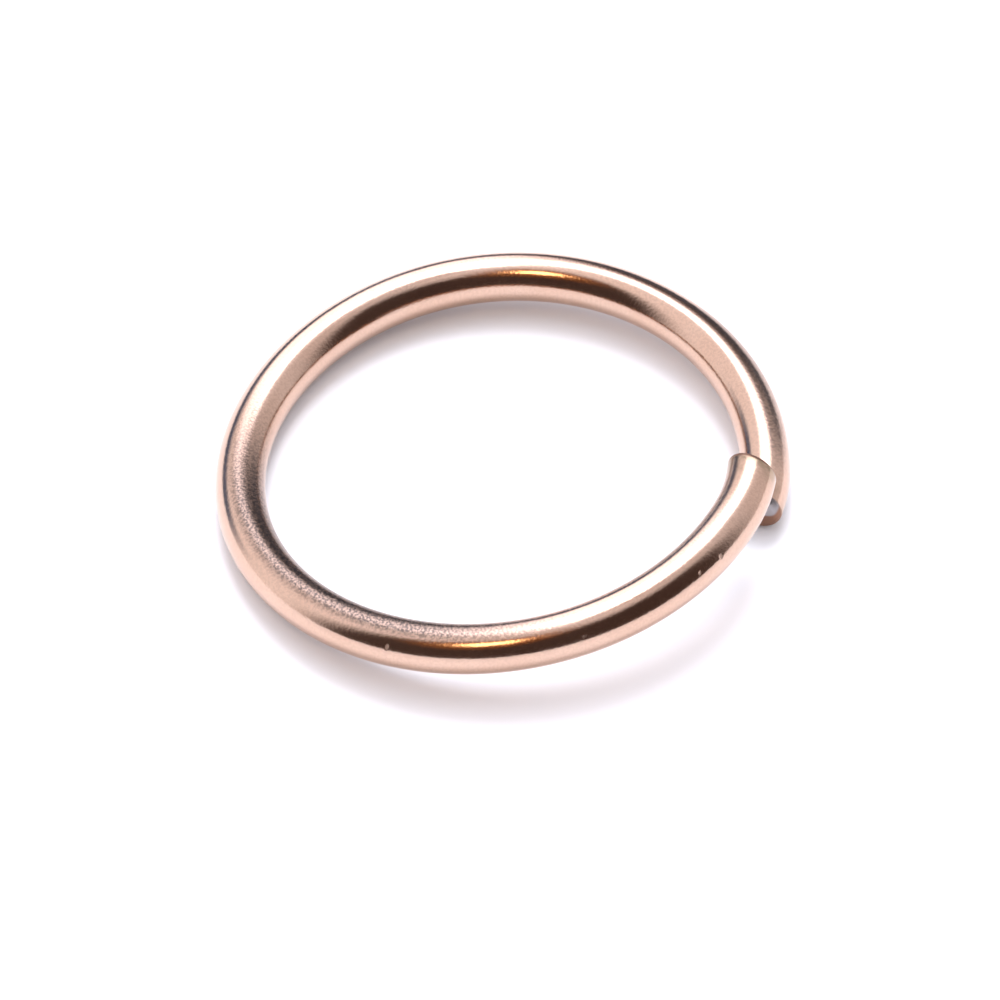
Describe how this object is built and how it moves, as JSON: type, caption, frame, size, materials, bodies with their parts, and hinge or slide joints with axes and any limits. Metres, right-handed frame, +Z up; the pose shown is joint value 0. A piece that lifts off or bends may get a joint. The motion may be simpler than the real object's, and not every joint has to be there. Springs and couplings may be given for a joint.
{
  "type": "nose ring",
  "caption": "Plain seamless hoop of round wire whose two cut ends are sprung apart, worn through a nostril or ear piercing.",
  "frame": {"origin": "the middle of the hoop's box in plan, on the surface that the hoop lies on", "axes": "+Z up, out of the surface; the gap between the two ends is on the +X side, and the wire runs anticlockwise from the low end to the high one"},
  "size_m": [0.0094, 0.0096, 0.0019],
  "materials": {
    "rose_gold": "polished rose-gold plating, lightly worn, with bare grey metal on the cut ends"
  },
  "bodies": {
    "root": {"hoop": "rose_gold"}
  },
  "joints": []
}
